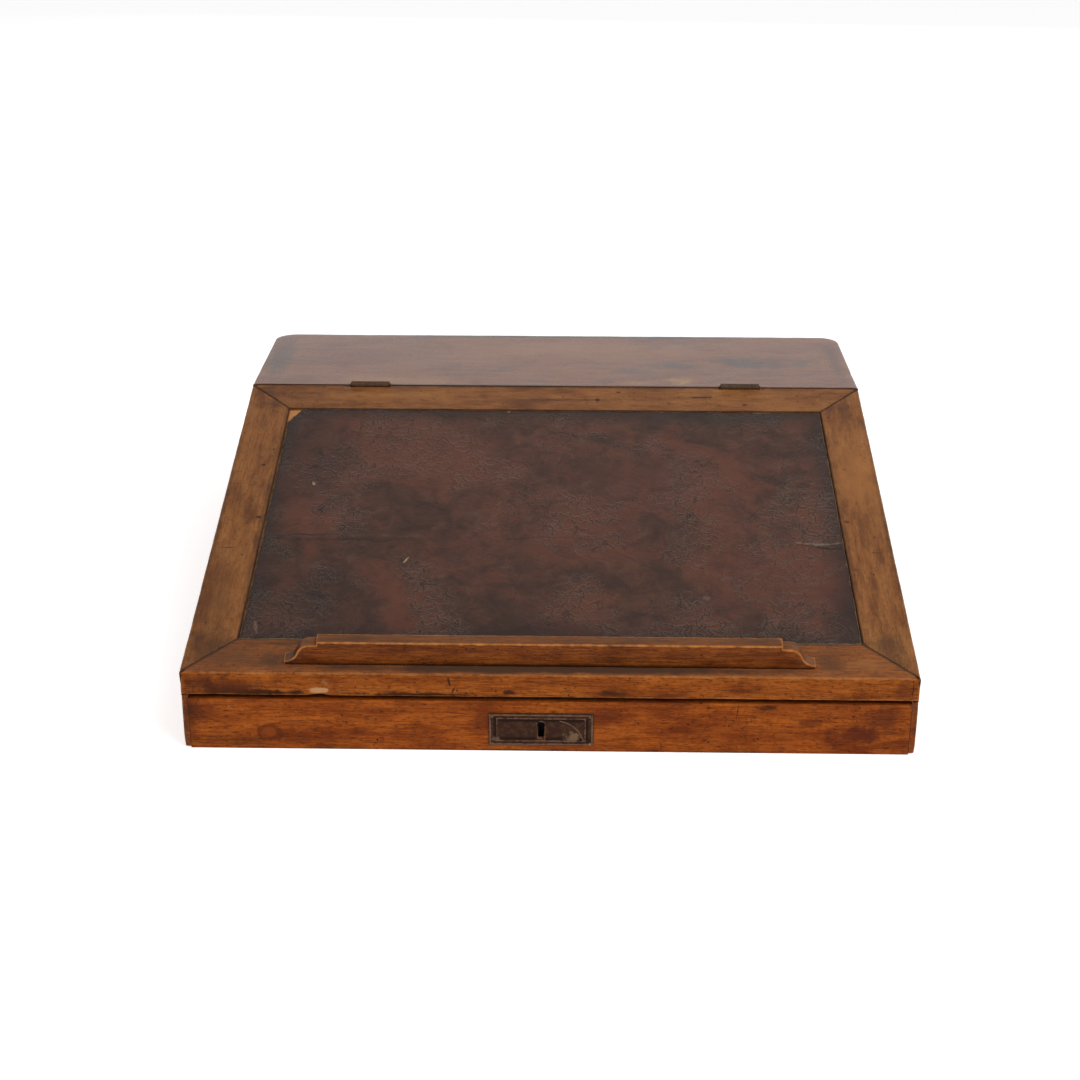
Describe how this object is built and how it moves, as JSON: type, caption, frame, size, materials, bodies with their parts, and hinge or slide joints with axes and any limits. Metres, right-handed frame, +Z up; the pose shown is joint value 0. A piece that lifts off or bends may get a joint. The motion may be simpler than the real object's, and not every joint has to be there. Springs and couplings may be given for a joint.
{
  "type": "writing slope",
  "caption": "Low wooden table-top desk box: a mitred, leather-faced sloping lid with a book ledge hinges up from a flat rear deck, over a tray, pigeonholes and a box lock.",
  "frame": {"origin": "centre of the base, on the surface it stands on", "axes": "+X to the right of someone writing at it, +Y from the low front board to the back, +Z up"},
  "size_m": [0.43, 0.422, 0.1287],
  "materials": {
    "case_wood": "old waxed mahogany, amber brown, worn and marked",
    "lid_wood": "old waxed mahogany, mid brown, rubbed dull",
    "deck_wood": "old polished mahogany, dark brown, satin",
    "ledge_wood": "old polished mahogany, red brown, satin",
    "inner_wood": "unpolished softwood, aged",
    "hide": "dark red-brown hide, crazed and worn, satin",
    "escutcheon_metal": "stamped sheet brass under a dark brown patina",
    "old_brass": "old dull brass",
    "iron": "dull dark iron"
  },
  "bodies": {
    "case": {"front_board": "case_wood", "left_side": "case_wood", "right_side": "case_wood", "back_board": "case_wood", "bottom_board": "inner_wood", "deck_board": "deck_wood", "hinge_rail": "inner_wood", "pigeonhole_partitions": "inner_wood", "tray_floor": "inner_wood", "tray_lips": "inner_wood", "tray_cleats": "inner_wood", "bottom_nails": "iron", "side_nails": "iron", "deck_nails": "iron", "escutcheon": "escutcheon_metal", "escutcheon_pins": "old_brass", "lock_plate": "old_brass", "lock_case": "old_brass", "lock_screws": "iron", "drill_pin": "iron", "bolt_stumps": "iron", "hinge_left_deck_leaf": "old_brass", "hinge_left_pin": "iron", "hinge_right_deck_leaf": "old_brass", "hinge_right_pin": "iron", "hinge_screws_deck": "iron"},
    "lid": {"lid_front_rail": "lid_wood", "lid_rear_rail": "lid_wood", "lid_left_stile": "lid_wood", "lid_right_stile": "lid_wood", "lid_panel": "inner_wood", "writing_leather": "hide", "book_ledge": "ledge_wood", "ledge_screws": "iron", "lock_link_plate": "old_brass", "link_screws": "iron", "hinge_left_lid_leaf": "old_brass", "hinge_right_lid_leaf": "old_brass", "hinge_screws_lid": "iron"},
    "lock_bolt": {"lock_bolt": "old_brass", "bolt_spring": "iron"}
  },
  "joints": [
    {"name": "lid_hinge", "type": "hinge", "parent": "case", "child": "lid", "pos_m": [0, 0.08742, 0.12668], "axis": [-1, 0, 0], "range_deg": [0, 194]},
    {"name": "bolt_slide", "type": "slide", "parent": "case", "child": "lock_bolt", "axis": [1, 0, 0], "range_m": [0, 0.005]}
  ]
}
